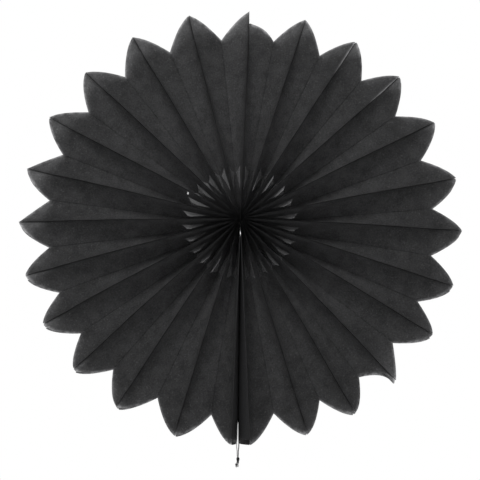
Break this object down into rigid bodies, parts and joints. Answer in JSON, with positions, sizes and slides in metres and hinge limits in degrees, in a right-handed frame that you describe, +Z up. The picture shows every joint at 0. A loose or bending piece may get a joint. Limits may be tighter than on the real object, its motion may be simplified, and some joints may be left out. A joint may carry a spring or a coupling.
{
  "type": "paper fan rosette",
  "caption": "Round hanging fan of folded black tissue leaves with pointed petals, a ring of windows round the hub, two end cards at a seam and a short knotted thread.",
  "frame": {"origin": "on the disc's axis in the hub, at mid depth, where the fan is pinned or taped up", "axes": "-Y out of the face, +Z up with the seam and the thread at the bottom, +X to the right seen from the face"},
  "size_m": [0.4498, 0.0648, 0.4724],
  "materials": {
    "tissue": "matte",
    "end_card": "matte",
    "hub_thread": "matte",
    "pale_thread": "matte",
    "dark_thread": "matte"
  },
  "bodies": {
    "root": {"leaf_01": "tissue", "leaf_02": "tissue", "leaf_03": "tissue", "leaf_04": "tissue", "leaf_05": "tissue", "leaf_06": "tissue", "leaf_07": "tissue", "leaf_08": "tissue", "leaf_09": "tissue", "leaf_10": "tissue", "leaf_11": "tissue", "leaf_12": "tissue", "leaf_13": "tissue", "leaf_14": "tissue", "leaf_15": "tissue", "leaf_16": "tissue", "leaf_17": "tissue", "leaf_18": "tissue", "leaf_19": "tissue", "leaf_20": "tissue", "leaf_21": "tissue", "leaf_22": "tissue", "leaf_23": "tissue", "leaf_24": "tissue", "leaf_25": "tissue", "leaf_26": "tissue", "leaf_27": "tissue", "leaf_28": "tissue", "leaf_29": "tissue", "leaf_30": "tissue", "leaf_31": "tissue", "leaf_32": "tissue", "leaf_33": "tissue", "leaf_34": "tissue", "leaf_35": "tissue", "leaf_36": "tissue", "leaf_37": "tissue", "leaf_38": "tissue", "leaf_39": "tissue", "leaf_40": "tissue", "leaf_41": "tissue", "leaf_42": "tissue", "leaf_43": "tissue", "leaf_44": "tissue", "leaf_45": "tissue", "leaf_46": "tissue", "leaf_47": "tissue", "leaf_48": "tissue", "end_card_left": "end_card", "end_card_right": "end_card", "hub_tie": "hub_thread", "thread_left": "pale_thread", "thread_right": "dark_thread", "thread_knot": "dark_thread"}
  },
  "joints": []
}
